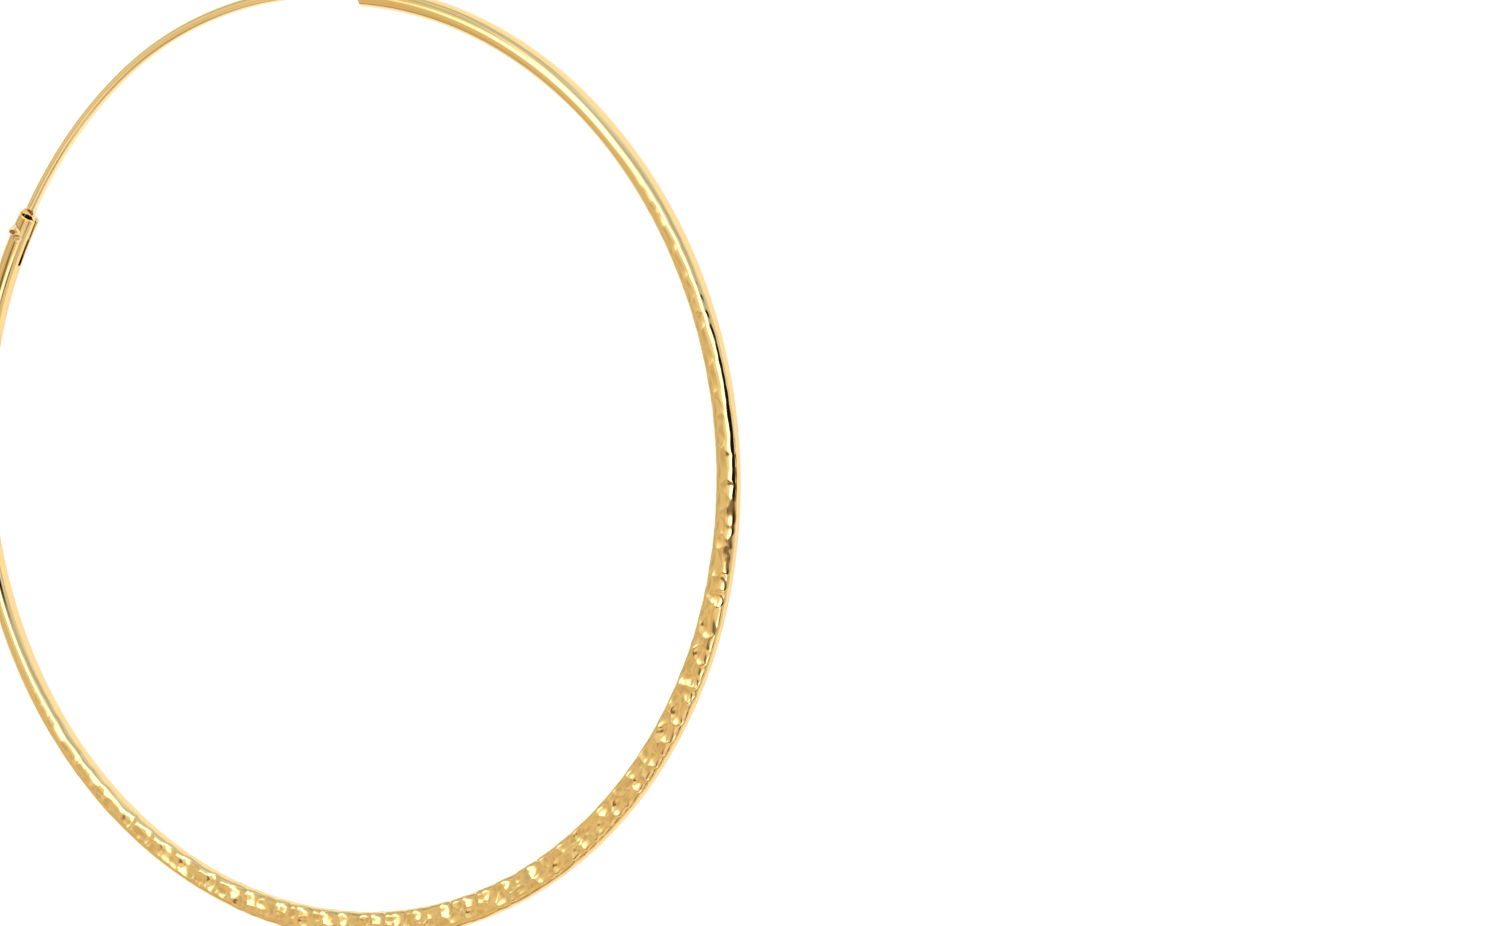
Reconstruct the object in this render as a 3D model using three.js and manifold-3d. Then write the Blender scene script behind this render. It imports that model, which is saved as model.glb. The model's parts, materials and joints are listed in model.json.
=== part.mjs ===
// A large hinged tube hoop earring, hammered on its front face, lying on its back.
//
// Millimetres, with +Z up. The hoop lies in the XY plane with its hammered face up,
// and angles run counterclockwise round it from +X, in degrees. The tube starts at
// the hinge end and runs round the bottom to the open mouth. The ear wire closes the
// rest of the ring and turns on a rivet in the forked end of the tube.

import * as THREE from 'three';
import { mergeVertices } from 'three/addons/utils/BufferGeometryUtils.js';
import Module from 'manifold-3d';

const wasm = await Module();
wasm.setup();

// Driving dimensions of the tube
const hoopRadius = 34; // from the middle of the hoop to the middle of the tube
const tubeDiameter = 1.6;
const tubeWall = 0.25;
const hingeEndAngle = 144; // where the tube is cut square at the hinge
const mouthAngle = 441.5; // where it is cut square at the mouth, 360 further round

// Driving dimensions of the hammer marks
const markDepth = 0.11;
const markRadius = 0.66;
const markStretch = 1.3; // how much longer a mark is along the tube than across it
const markPitch = 1.1; // from one mark to the next in a row
const markScatter = 0.35; // share of the pitch that a mark strays
const depthScatter = 0.9; // shares by which the marks differ from each other
const lengthScatter = 0.6;
const widthScatter = 0.5;
const markTilt = 0.14; // slope of the most tilted full-depth marks
// Fractions whose multiples spread evenly from 0 to 1, one for each way in which marks differ
const strayStep = { along: 0.618034, across: 0.381966, size: 0.754878, slope: 0.56984 };
const twoRowWidth = 1.2; // share of the tube's diameter from which two rows of marks fit
const rowPlace = 0.54; // share of the struck half width at which a row runs
const struckEdge = 0.6; // share of the edge radius that the hammer spares
const markLean = 0.2; // how far the marks lie off the middle towards +X
const firstMarkAngle = 199;
const lastMarkAngle = 395;

// Driving dimensions of the hinge
const pinSetback = 1.25; // from the end of the tube to the middle of the pin
const pinDiameter = 0.45;
const pinHoleGap = 0.03; // round the pin in the tube
const eyeClearance = 0.05; // round the pin in the ear wire's eye
const slotLength = 3.6;
const slotSideClearance = 0.05; // beside the foot of the ear wire
const headDiameter = 1.15;
const headHeight = 0.48; // above the tube
const peenDiameter = 0.68; // the pin's back end, spread flush into the tube
const peenDepth = 0.16;

// Driving dimensions of the ear wire
const wireDiameter = 0.8;
const wireRise = 0.575; // how far it bows out beyond the circle of the tube
const tipLength = 2.0; // inside the mouth
const noseLength = 0.3;
const footThickness = 0.2;
const footWidth = 1.5;
const footFlare = 0.45; // over which the round wire is hammered down to the foot's thickness
const neckInset = 0.15; // from the end of the tube to where the foot has its full width
const swingClearance = 0.08; // between the round wire and the corners of the fork as it turns
const notchClearance = 0.07; // beside and behind the tip in the mouth's notch

// How finely the facets follow the round forms
const smoothStep = 3; // degrees between the rings of the smooth tube
const boreStep = 6;
const wireStep = 3;
const roundSides = 12;
const pinSides = 16;

// The tube's section round the hoop. Its width, height and edge radius are shares of the
// tube's diameter, and marks is the share of the full depth of the hammer marks.
const tubeSections = [
  { at: 196, width: 1.0, height: 1.0, edge: 0.5, marks: 0.0 },
  { at: 210, width: 1.01, height: 0.97, edge: 0.48, marks: 0.4 },
  { at: 224, width: 1.08, height: 0.9, edge: 0.44, marks: 0.75 },
  { at: 240, width: 1.17, height: 0.82, edge: 0.38, marks: 1.0 },
  { at: 262, width: 1.29, height: 0.73, edge: 0.31, marks: 1.0 },
  { at: 298, width: 1.36, height: 0.69, edge: 0.29, marks: 1.0 },
  { at: 326, width: 1.36, height: 0.7, edge: 0.38, marks: 0.9 },
  { at: 345, width: 1.29, height: 0.79, edge: 0.52, marks: 0.6 },
  { at: 368, width: 1.17, height: 0.88, edge: 0.53, marks: 0.4 },
  { at: 385, width: 1.08, height: 0.96, edge: 0.51, marks: 0.3 },
  { at: 398, width: 1.0, height: 1.0, edge: 0.5, marks: 0.0 },
];

// The bow of the ear wire from the mouth to the hinge: rise is a share of the wire's rise,
// and along is the share of the way from the mouth to the hinge end.
const wireBow = [
  { along: 0.0, rise: 0.0 },
  { along: 0.12, rise: 0.36 },
  { along: 0.25, rise: 0.7 },
  { along: 0.38, rise: 0.91 },
  { along: 0.5, rise: 1.0 },
  { along: 0.6, rise: 0.91 },
  { along: 0.7, rise: 0.7 },
  { along: 0.8, rise: 0.5 },
  { along: 0.9, rise: 0.31 },
  { along: 1.0, rise: 0.16 },
];

// The two lobes that the hammer left of the rivet's head. Their places, along the tube and
// outwards from the pin, and their diameters are shares of the head's diameter, and their
// heights shares of its height.
const headLobes = [
  { along: -0.02, out: 0.1, diameter: 0.9, height: 1.0 },
  { along: 0.36, out: -0.22, diameter: 0.62, height: 0.7 },
];

const tubeRadius = tubeDiameter / 2;
const midHeight = tubeRadius; // the round tube's and the ear wire's height above the back
const pinRadius = pinDiameter / 2;
const slotWidth = footThickness + 2 * slotSideClearance;
const cutMargin = 1; // by which cutting tools run past what they cut

const radians = (degrees) => THREE.MathUtils.degToRad(degrees);
const arcDegrees = (length) => THREE.MathUtils.radToDeg(length / hoopRadius);
const pinAngle = hingeEndAngle + arcDegrees(pinSetback);

// A column of a table at any place between its rows, on a smooth curve through them.
function readTable(rows, key, column, place) {
  const last = rows.length - 1;
  if (place <= rows[0][key]) return rows[0][column];
  if (place >= rows[last][key]) return rows[last][column];
  const above = rows.findIndex((row) => row[key] > place);
  const [before, from, to, after] = [above - 2, above - 1, above, above + 1]
    .map((index) => rows[THREE.MathUtils.clamp(index, 0, last)]);
  const slope = (a, b) => (a === b ? 0 : (b[column] - a[column]) / (b[key] - a[key]));
  const span = to[key] - from[key];
  const share = (place - from[key]) / span;
  const start = slope(before, to) * span;
  const end = slope(from, after) * span;
  const square = share * share;
  const cube = square * share;
  return (2 * cube - 3 * square + 1) * from[column] + (cube - 2 * square + share) * start
    + (3 * square - 2 * cube) * to[column] + (cube - square) * end;
}

// The tube's half width, half height, edge radius and depth of marks at an angle.
function tubeSection(angle) {
  const share = (column) => readTable(tubeSections, 'at', column, angle);
  return {
    halfWidth: share('width') * tubeRadius,
    halfHeight: share('height') * tubeRadius,
    edge: share('edge') * tubeDiameter,
    depth: share('marks') * markDepth,
  };
}

// A point of the hoop: out is measured outwards from the middle of the tube.
function hoopPoint(angle, out, height) {
  const radius = hoopRadius + out;
  return new THREE.Vector3(radius * Math.cos(radians(angle)), radius * Math.sin(radians(angle)), height);
}

// A closed body through rings of points, each ring turning from outwards towards +Z.
function loft(rings) {
  const sides = rings[0].length;
  const positions = rings.flat().flatMap((point) => point.toArray());
  const index = [];
  for (let ring = 0; ring < rings.length - 1; ring++) {
    for (let side = 0; side < sides; side++) {
      const a = ring * sides + side;
      const b = ring * sides + ((side + 1) % sides);
      index.push(a, a + sides, b, b, a + sides, b + sides);
    }
  }
  const lastRing = (rings.length - 1) * sides;
  for (let side = 1; side < sides - 1; side++) {
    index.push(0, side, side + 1);
    index.push(lastRing, lastRing + side + 1, lastRing + side);
  }
  const geometry = new THREE.BufferGeometry();
  geometry.setAttribute('position', new THREE.Float32BufferAttribute(positions, 3));
  geometry.setIndex(index);
  return geometry;
}

function toSolid(geometry) {
  const bare = geometry.clone();
  bare.deleteAttribute('normal');
  bare.deleteAttribute('uv');
  const merged = mergeVertices(bare);
  return new wasm.Manifold(new wasm.Mesh({
    numProp: 3,
    vertProperties: new Float32Array(merged.attributes.position.array),
    triVerts: new Uint32Array(merged.index.array),
  }));
}

function toGeometry(solid) {
  const mesh = solid.getMesh();
  const geometry = new THREE.BufferGeometry();
  geometry.setAttribute('position', new THREE.BufferAttribute(mesh.vertProperties, 3));
  geometry.setIndex(new THREE.BufferAttribute(mesh.triVerts, 1));
  geometry.computeVertexNormals();
  return geometry;
}

// The points of a rounded rectangle: half width outwards, half height upwards. An edge wider
// than half the height is a quarter of an oval.
function roundedSection(halfWidth, halfHeight, edge, sides = roundSides) {
  const edgeHeight = Math.min(edge, halfHeight);
  const points = [];
  for (let side = 0; side < sides; side++) {
    const turn = (2 * Math.PI * (side + 0.5)) / sides;
    const [across, up] = [Math.cos(turn), Math.sin(turn)];
    points.push([
      Math.sign(across) * (halfWidth - edge) + across * edge,
      Math.sign(up) * (halfHeight - edgeHeight) + up * edgeHeight,
    ]);
  }
  return points;
}

// An even scatter from -0.5 to 0.5 over the numbered marks, in one of the ways they differ.
function stray(index, way) {
  return ((index * strayStep[way]) % 1) - 0.5;
}

// The hammer marks: one row of them, or two staggered rows where the tube is wide enough.
// No two are alike: each strays a little from its place, size and slope.
function hammerMarks() {
  const marks = [];
  const halfPitch = arcDegrees(markPitch) / 2;
  for (let index = 0, angle = firstMarkAngle; angle < lastMarkAngle; index++, angle += halfPitch) {
    const { halfWidth, edge, depth } = tubeSection(angle);
    const inTwoRows = halfWidth * 2 > twoRowWidth * tubeDiameter;
    if (!inTwoRows && index % 2) continue;
    const struck = halfWidth - struckEdge * edge;
    const row = inTwoRows ? (index % 2 ? 1 : -1) * rowPlace * struck : 0;
    const lean = markLean * Math.cos(radians(angle));
    const size = stray(index, 'size');
    const slope = stray(index, 'slope');
    marks.push({
      angle: angle + stray(index, 'along') * markScatter * 2 * halfPitch,
      out: row + lean + stray(index, 'across') * markScatter * struck,
      depth: depth * (1 + size * depthScatter),
      halfLength: markRadius * markStretch * (1 + slope * lengthScatter),
      halfWidth: markRadius * (1 + size * widthScatter),
      slopeAlong: (slope * markTilt * depth) / markDepth,
      slopeAcross: (size * markTilt * depth) / markDepth,
    });
  }
  return marks;
}

const marks = hammerMarks();

// The height of the hammered face above the tube's back: shallow bowls that meet in ridges,
// struck into a bare front of a given height.
function hammeredHeight(angle, out, bare) {
  let height = bare;
  for (const mark of marks) {
    const along = radians(angle - mark.angle) * hoopRadius;
    if (Math.abs(along) > mark.halfLength) continue;
    const across = out - mark.out;
    const distance = Math.hypot(along / mark.halfLength, across / mark.halfWidth);
    const tilt = mark.slopeAlong * along + mark.slopeAcross * across;
    height = Math.min(height, bare - mark.depth * (1 - distance ** 2) + tilt);
  }
  return height;
}

// One ring of the tube's outside. The five points across the front follow the hammer marks.
function tubeRing(angle) {
  const { halfWidth, halfHeight, edge } = tubeSection(angle);
  const acrossShares = [0.75, 0.38, 0, -0.38, -0.75];
  const sideTurn = radians(14);
  const edgeHeight = Math.min(edge, halfHeight);
  const rimHeight = (out) => {
    const past = THREE.MathUtils.clamp((Math.abs(out) - (halfWidth - edge)) / edge, 0, 1);
    return halfHeight - edgeHeight + edgeHeight * Math.sqrt(1 - past ** 2);
  };
  const sideOut = halfWidth - edge + edge * Math.cos(sideTurn);
  const sideUp = halfHeight - edgeHeight + edgeHeight * Math.sin(sideTurn);
  const front = acrossShares.map((share) => {
    const out = share * halfWidth;
    const bare = halfHeight + rimHeight(out);
    return [out, hammeredHeight(angle, out, bare)];
  });
  const back = acrossShares.filter((share) => share !== 0).reverse().map((share) => {
    const out = share * halfWidth;
    return [out, halfHeight - rimHeight(out)];
  });
  const outline = [
    [sideOut, halfHeight - sideUp],
    [sideOut, halfHeight + sideUp],
    ...front,
    [-sideOut, halfHeight + sideUp],
    [-sideOut, halfHeight - sideUp],
    ...back,
  ];
  return outline.map(([out, height]) => hoopPoint(angle, out, height));
}

// The angles of the tube's rings: every half pitch along the marks, and wider apart elsewhere.
function tubeRingAngles() {
  const angles = [];
  const spread = (from, to, step) => {
    const count = Math.ceil((to - from) / step);
    for (let index = 0; index < count; index++) angles.push(from + ((to - from) * index) / count);
  };
  spread(hingeEndAngle, firstMarkAngle, smoothStep);
  spread(firstMarkAngle, lastMarkAngle, arcDegrees(markPitch) / 2);
  spread(lastMarkAngle, mouthAngle, smoothStep);
  return [...angles, mouthAngle];
}

// The hollow inside the tube, a wall's thickness in from the outside and from the marks.
function boreSolid() {
  const overrun = arcDegrees(cutMargin);
  const from = hingeEndAngle - overrun;
  const to = mouthAngle + overrun;
  const count = Math.ceil((to - from) / boreStep);
  const rings = [];
  for (let index = 0; index <= count; index++) {
    const angle = from + ((to - from) * index) / count;
    const { halfWidth, halfHeight, edge, depth } = tubeSection(angle);
    const bottom = tubeWall;
    const top = 2 * halfHeight - tubeWall - depth;
    const halfBore = (top - bottom) / 2;
    const boreEdge = Math.max(edge - tubeWall, tubeWall / 2);
    const section = roundedSection(halfWidth - tubeWall, halfBore, boreEdge);
    rings.push(section.map(([out, up]) => hoopPoint(angle, out, (top + bottom) / 2 + up)));
  }
  return toSolid(loft(rings));
}

// A block in the hoop's local directions at an angle: along the tube, outwards and up.
function blockAt(angle, along, out, up) {
  const size = [along, out, up].map(([low, high]) => high - low);
  const middle = [along, out, up].map(([low, high]) => (low + high) / 2);
  const geometry = new THREE.BoxGeometry(size[1], size[0], size[2]);
  geometry.translate(middle[1], middle[0], middle[2]);
  geometry.translate(hoopRadius, 0, 0);
  geometry.rotateZ(radians(angle));
  return toSolid(geometry);
}

// A round upright body on or beside the pin's axis, from a profile of [radius, height] points.
function roundAtPin(profile, sides = pinSides, along = 0, out = 0) {
  const points = profile.map(([radius, height]) => new THREE.Vector2(radius, height));
  const geometry = new THREE.LatheGeometry(points, sides);
  geometry.rotateX(Math.PI / 2);
  geometry.translate(hoopRadius + out, along, 0);
  geometry.rotateZ(radians(pinAngle));
  return toSolid(geometry);
}

function cylinderAtPin(radius, bottom, top) {
  return roundAtPin([[0, bottom], [radius, bottom], [radius, top], [0, top]]);
}

// The pin's spread back end, or with a gap the countersink that it fills.
function peenAtPin(gap) {
  const bottom = gap ? -cutMargin : backFlat();
  const flare = (peenDiameter - pinDiameter) / 2 / peenDepth;
  const shoulder = backFlat() + peenDepth;
  return roundAtPin([
    [0, bottom],
    [pinRadius + gap + flare * (shoulder - bottom), bottom],
    [pinRadius + gap, shoulder],
    [0, shoulder],
  ]);
}

// The height of the flat along the back of the tube's facets beside the pin.
function backFlat() {
  return Math.min(...tubeRing(pinAngle).map((point) => point.z));
}

// A round tube a little larger than the real one round the pin, which the head sits on.
function tubeEnvelope(gap) {
  const sides = 24;
  const reach = arcDegrees(headDiameter + cutMargin);
  const radius = (tubeRadius + gap) / Math.cos(Math.PI / sides);
  const rings = [];
  const count = 4;
  for (let index = 0; index <= count; index++) {
    const angle = pinAngle - reach + (2 * reach * index) / count;
    const section = roundedSection(radius, radius, radius, sides);
    rings.push(section.map(([out, up]) => hoopPoint(angle, out, midHeight + up)));
  }
  return toSolid(loft(rings));
}

function hoopTube() {
  const tube = toSolid(loft(tubeRingAngles().map(tubeRing))).subtract(boreSolid());
  const past = tubeRadius + cutMargin;
  const slot = blockAt(
    hingeEndAngle,
    [-cutMargin, slotLength],
    [-past, past],
    [midHeight - slotWidth / 2, midHeight + slotWidth / 2],
  );
  const notchWidth = wireDiameter + 2 * notchClearance;
  const notch = blockAt(
    mouthAngle,
    [-tipLength - notchClearance, cutMargin],
    [0, past],
    [midHeight - notchWidth / 2, midHeight + notchWidth / 2],
  );
  const pinHole = cylinderAtPin(pinRadius + pinHoleGap, -cutMargin, tubeDiameter + cutMargin);
  return toGeometry(tube.subtract(slot).subtract(notch).subtract(pinHole).subtract(peenAtPin(pinHoleGap)));
}

// One lobe of the rivet's head, down into the tube that the head sits on.
function headLobe({ along, out, diameter, height }) {
  const radius = (headDiameter * diameter) / 2;
  const rise = headHeight * height;
  const top = tubeDiameter + rise;
  const profile = [
    [0, midHeight],
    [radius, midHeight],
    [radius, top - 0.5 * rise],
    [0.86 * radius, top - 0.22 * rise],
    [0.5 * radius, top - 0.04 * rise],
    [0, top],
  ];
  return roundAtPin(profile, 9, headDiameter * along, headDiameter * out);
}

// The pin, its flush back end and its head, which hammering left out of round.
function hingeRivet() {
  const [mainLobe, sideLobe] = headLobes.map(headLobe);
  const head = mainLobe.add(sideLobe).subtract(tubeEnvelope(pinHoleGap));
  const pin = cylinderAtPin(pinRadius, backFlat(), tubeDiameter + headHeight / 2);
  return toGeometry(pin.add(head).add(peenAtPin(0)));
}

// One ring of the ear wire, at a length along the tube's circle from the pin towards the mouth.
function wireRing(angle, halfWidth, halfHeight) {
  const along = (mouthAngle - 360 - angle) / (mouthAngle - 360 - hingeEndAngle);
  const rise = readTable(wireBow, 'along', 'rise', along) * wireRise;
  const pastEnd = THREE.MathUtils.clamp((pinAngle - angle) / (pinAngle - hingeEndAngle), 0, 1);
  const out = rise * pastEnd;
  const edge = Math.min(halfWidth, halfHeight);
  return roundedSection(halfWidth, halfHeight, edge)
    .map(([across, up]) => hoopPoint(angle, out + across, midHeight + up));
}

// The ear wire from its round nose in the mouth to the flat foot with its eye.
function earWire() {
  const wireRadius = wireDiameter / 2;
  const footRadius = footWidth / 2;
  const tipAngle = mouthAngle - 360 - arcDegrees(tipLength);
  const rings = [];
  for (const share of [0, 0.3, 0.7, 1]) {
    const radius = wireRadius * (0.45 + 0.55 * Math.sqrt(1 - (1 - share) ** 2));
    rings.push(wireRing(tipAngle + share * arcDegrees(noseLength), radius, radius));
  }
  const footReach = Math.hypot(pinSetback, tubeRadius) + swingClearance;
  const footStart = pinAngle - arcDegrees(footReach);
  const flareStart = footStart - arcDegrees(footFlare);
  const neckEnd = hingeEndAngle + arcDegrees(neckInset);
  const wireStart = tipAngle + arcDegrees(noseLength);
  const count = Math.ceil((flareStart - wireStart) / wireStep);
  for (let index = 1; index <= count; index++) {
    rings.push(wireRing(wireStart + ((flareStart - wireStart) * index) / count, wireRadius, wireRadius));
  }
  const flat = footThickness / 2;
  const flareRings = 6;
  for (let index = 1; index <= flareRings; index++) {
    const angle = flareStart + ((neckEnd - flareStart) * index) / flareRings;
    const widened = THREE.MathUtils.smoothstep(angle, flareStart, neckEnd);
    const flattened = THREE.MathUtils.smoothstep(angle, flareStart, footStart);
    rings.push(wireRing(
      angle,
      THREE.MathUtils.lerp(wireRadius, footRadius, widened),
      THREE.MathUtils.lerp(wireRadius, flat, flattened),
    ));
  }
  rings.push(wireRing((neckEnd + pinAngle) / 2, footRadius, flat));
  for (const turn of [0, 25, 50, 70, 85]) {
    const angle = pinAngle + arcDegrees(footRadius * Math.sin(radians(turn)));
    rings.push(wireRing(angle, footRadius * Math.cos(radians(turn)), flat));
  }
  const eye = cylinderAtPin(pinRadius + eyeClearance, midHeight - cutMargin, midHeight + cutMargin);
  return toGeometry(toSolid(loft(rings)).subtract(eye));
}

const polishedGold = new THREE.MeshStandardMaterial({ color: 0xe5c07d, roughness: 0.16, metalness: 1 });
const wireGold = new THREE.MeshStandardMaterial({ color: 0xe8c583, roughness: 0.2, metalness: 1 });

function piece(name, geometry, material) {
  const mesh = new THREE.Mesh(geometry, material);
  mesh.name = name;
  return mesh;
}

const earring = new THREE.Group();
earring.add(piece('hoop_tube', hoopTube(), polishedGold));
earring.add(piece('hinge_rivet', hingeRivet(), polishedGold));
earring.add(piece('ear_wire', earWire(), wireGold));

// The origin is under the middle of the earring, on the surface that it lies on.
const bounds = new THREE.Box3().setFromObject(earring);
const middle = bounds.getCenter(new THREE.Vector3());
earring.position.set(-middle.x, -middle.y, -bounds.min.z);

export default earring;
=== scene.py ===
"""A hammered tube hoop earring in polished yellow gold, lying on a white table.

The tube and the ear wire are rolled from flat grids, and cut where a jeweller would saw and
drill them. The rivet's head is two joined lobes with the hammer's blows struck into them. Sizes
are in millimetres, round the middle of the hoop with angles counterclockwise from +X, until a
finished piece is put in place in metres.
"""

import json
import math

import bmesh
import bpy
from mathutils import Matrix, Vector, noise


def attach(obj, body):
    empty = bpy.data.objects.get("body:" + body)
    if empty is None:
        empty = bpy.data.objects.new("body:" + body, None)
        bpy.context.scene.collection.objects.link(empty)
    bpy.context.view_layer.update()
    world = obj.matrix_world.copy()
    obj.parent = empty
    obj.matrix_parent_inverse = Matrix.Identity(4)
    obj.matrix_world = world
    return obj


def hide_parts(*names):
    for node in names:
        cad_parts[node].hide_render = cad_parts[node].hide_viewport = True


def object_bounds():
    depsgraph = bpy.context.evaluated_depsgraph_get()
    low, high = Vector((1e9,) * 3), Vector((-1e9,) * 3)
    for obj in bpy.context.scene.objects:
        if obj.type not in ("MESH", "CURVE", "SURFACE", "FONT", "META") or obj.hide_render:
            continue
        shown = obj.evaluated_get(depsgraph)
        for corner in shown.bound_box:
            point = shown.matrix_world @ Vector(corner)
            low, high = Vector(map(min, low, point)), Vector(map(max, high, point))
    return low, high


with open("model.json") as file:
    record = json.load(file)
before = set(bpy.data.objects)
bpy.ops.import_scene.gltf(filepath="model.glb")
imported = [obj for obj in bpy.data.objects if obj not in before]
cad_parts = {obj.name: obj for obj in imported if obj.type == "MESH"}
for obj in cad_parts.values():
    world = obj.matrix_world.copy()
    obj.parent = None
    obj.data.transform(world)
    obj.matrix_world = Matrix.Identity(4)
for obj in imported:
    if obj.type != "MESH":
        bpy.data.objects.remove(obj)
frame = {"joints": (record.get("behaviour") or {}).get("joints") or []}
cad_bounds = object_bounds()

MM = 0.001

# The tube
HOOP_RADIUS = 34.0
TUBE_DIAMETER = 1.6
TUBE_WALL = 0.25
HINGE_END = 144.0
MOUTH = 441.5
TUBE_RADIUS = TUBE_DIAMETER / 2
MID_HEIGHT = TUBE_RADIUS
TUBE_SIDES = 60
WIRE_SIDES = 32
SMOOTH_STEP = 0.5
HAMMERED_STEP = 0.1
BORE_STEP = 1.2
FORK_JOIN = 152.0
MOUTH_JOIN = 436.0

# The hammer marks: where they run, in degrees, and their sizes
FIRST_MARK = 199.0
LAST_MARK = 395.0
MARK_DEPTH = 0.11
MARK_RADIUS = 0.66
MARK_PITCH = 1.1
MARK_REACH = 2.5 * MARK_RADIUS
MARK_LEAN = 0.2
RIDGE_ROUNDING = 0.026
RIPPLE_HEIGHT = 0.004
RIPPLE_PITCH = 0.55

# Shares of those sizes: how much longer a mark is along the tube, and how the marks differ
MARK_STRETCH = 1.3
MARK_SCATTER = 0.35
DEPTH_SCATTER = 0.9
LENGTH_SCATTER = 0.6
WIDTH_SCATTER = 0.5

# The slope of the most tilted marks, and the power that makes the floor of a bowl flat
MARK_TILT = 0.3
MARK_FLATNESS = 1.5

# Two rows of marks fit past this share of the tube's diameter, each at a share of the half width
# that is struck. The hammer spares a share of the edge's radius.
TWO_ROW_WIDTH = 1.2
ROW_PLACE = 0.54
STRUCK_EDGE = 0.6

# Fractions whose multiples spread evenly from 0 to 1, one for each way in which marks differ
STRAY_STEPS = {"along": 0.618034, "across": 0.381966, "size": 0.754878, "turn": 0.569840}

# The hinge
PIN_SETBACK = 1.25
PIN_DIAMETER = 0.45
PIN_HOLE_GAP = 0.03
EYE_CLEARANCE = 0.05
SLOT_LENGTH = 3.6
SLOT_SIDE_CLEARANCE = 0.05
HEAD_DIAMETER = 1.15
HEAD_HEIGHT = 0.48
HEAD_SUNK = 0.35
PEEN_DIAMETER = 0.68
PEEN_DEPTH = 0.16
PEEN_INSET = 0.02

# The ear wire
WIRE_DIAMETER = 0.8
WIRE_RISE = 0.575
TIP_LENGTH = 2.0
NOSE_LENGTH = 0.3
FOOT_THICKNESS = 0.2
FOOT_WIDTH = 1.5
FOOT_FLARE = 0.45
NECK_INSET = 0.15
SWING_CLEARANCE = 0.08
NOTCH_CLEARANCE = 0.07
BLUNT_TIP = 0.05

# The tube's section round the hoop: degrees, then its width, height and edge radius as shares of
# the tube's diameter, and the share of the full depth of the hammer marks.
TUBE_SECTIONS = [
    {"at": 196, "width": 1.0, "height": 1.0, "edge": 0.5, "marks": 0.0},
    {"at": 210, "width": 1.01, "height": 0.97, "edge": 0.48, "marks": 0.4},
    {"at": 224, "width": 1.08, "height": 0.9, "edge": 0.44, "marks": 0.75},
    {"at": 240, "width": 1.17, "height": 0.82, "edge": 0.38, "marks": 1.0},
    {"at": 262, "width": 1.29, "height": 0.73, "edge": 0.31, "marks": 1.0},
    {"at": 298, "width": 1.36, "height": 0.69, "edge": 0.29, "marks": 1.0},
    {"at": 326, "width": 1.36, "height": 0.7, "edge": 0.38, "marks": 0.9},
    {"at": 345, "width": 1.29, "height": 0.79, "edge": 0.52, "marks": 0.6},
    {"at": 368, "width": 1.17, "height": 0.88, "edge": 0.53, "marks": 0.4},
    {"at": 385, "width": 1.08, "height": 0.96, "edge": 0.51, "marks": 0.3},
    {"at": 398, "width": 1.0, "height": 1.0, "edge": 0.5, "marks": 0.0},
]

# The bow of the ear wire, from the mouth to the hinge end: the share of the way, then the share
# of the wire's full rise beyond the circle of the tube.
WIRE_BOW = [
    {"along": 0.0, "rise": 0.0},
    {"along": 0.12, "rise": 0.36},
    {"along": 0.25, "rise": 0.7},
    {"along": 0.38, "rise": 0.91},
    {"along": 0.5, "rise": 1.0},
    {"along": 0.6, "rise": 0.91},
    {"along": 0.7, "rise": 0.7},
    {"along": 0.8, "rise": 0.5},
    {"along": 0.9, "rise": 0.31},
    {"along": 1.0, "rise": 0.16},
]


def arc_degrees(length):
    """How many degrees of the hoop a length takes."""
    return math.degrees(length / HOOP_RADIUS)


PIN_ANGLE = HINGE_END + arc_degrees(PIN_SETBACK)
HINGE = Vector(frame["joints"][0]["pos_m"])
HOOP_CENTRE = Vector((
    HINGE.x - HOOP_RADIUS * MM * math.cos(math.radians(PIN_ANGLE)),
    HINGE.y - HOOP_RADIUS * MM * math.sin(math.radians(PIN_ANGLE)),
    cad_bounds[0].z,
))


def read_table(rows, key, column, place):
    """A column of a table at any place between its rows, on a smooth curve through them."""
    if place <= rows[0][key]:
        return rows[0][column]
    if place >= rows[-1][key]:
        return rows[-1][column]
    above = next(index for index, row in enumerate(rows) if row[key] > place)
    before, start, end, after = (
        rows[min(max(index, 0), len(rows) - 1)] for index in range(above - 2, above + 2)
    )

    def slope(low, high):
        return (high[column] - low[column]) / (high[key] - low[key])

    span = end[key] - start[key]
    share = (place - start[key]) / span
    leave = slope(before, end) * span
    arrive = slope(start, after) * span
    square, cube = share**2, share**3
    return (
        (2 * cube - 3 * square + 1) * start[column]
        + (cube - 2 * square + share) * leave
        + (3 * square - 2 * cube) * end[column]
        + (cube - square) * arrive
    )


def tube_section(angle):
    """The tube's half width, half height, edge radius and depth of marks at an angle."""
    return (
        read_table(TUBE_SECTIONS, "at", "width", angle) * TUBE_RADIUS,
        read_table(TUBE_SECTIONS, "at", "height", angle) * TUBE_RADIUS,
        read_table(TUBE_SECTIONS, "at", "edge", angle) * TUBE_DIAMETER,
        read_table(TUBE_SECTIONS, "at", "marks", angle) * MARK_DEPTH,
    )


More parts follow.
